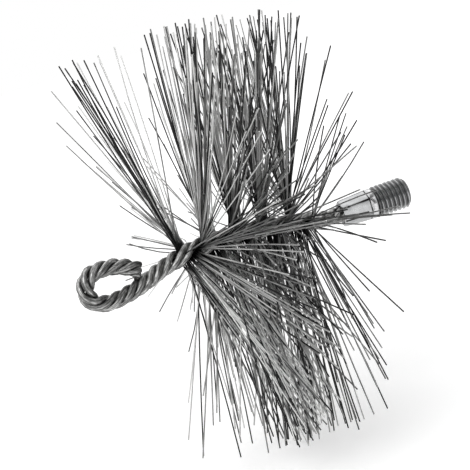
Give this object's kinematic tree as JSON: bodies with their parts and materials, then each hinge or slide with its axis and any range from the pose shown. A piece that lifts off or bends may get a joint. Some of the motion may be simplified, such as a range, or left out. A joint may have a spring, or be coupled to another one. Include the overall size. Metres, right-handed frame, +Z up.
{
  "type": "chimney sweep brush",
  "caption": "Round wire brush on a twisted wire stem, with an eye at one end and a crimped ferrule with an external screw thread at the other.",
  "frame": {"origin": "on the ferrule's axis at the foot of its external thread", "axes": "+X out along the thread towards the rod, +Z up, the stem and the eye run towards -X and swing a little to -Y"},
  "size_m": [0.1334, 0.1692, 0.1632],
  "materials": {
    "stem_steel": "drawn wire, dull grey",
    "bristle_steel": "hardened spring wire, dark",
    "ferrule_steel": "bright zinc plate",
    "weld_steel": "rough weld bead"
  },
  "bodies": {
    "root": {"stem_wire_1": "stem_steel", "stem_wire_2": "stem_steel", "stem_wire_3": "stem_steel", "stem_wire_4": "stem_steel", "threaded_ferrule": "ferrule_steel", "eye_tack_weld": "weld_steel", "bristles_01": "bristle_steel", "bristles_02": "bristle_steel", "bristles_03": "bristle_steel", "bristles_04": "bristle_steel", "bristles_05": "bristle_steel", "bristles_06": "bristle_steel", "bristles_07": "bristle_steel", "bristles_08": "bristle_steel", "bristles_09": "bristle_steel", "bristles_10": "bristle_steel"}
  },
  "joints": []
}
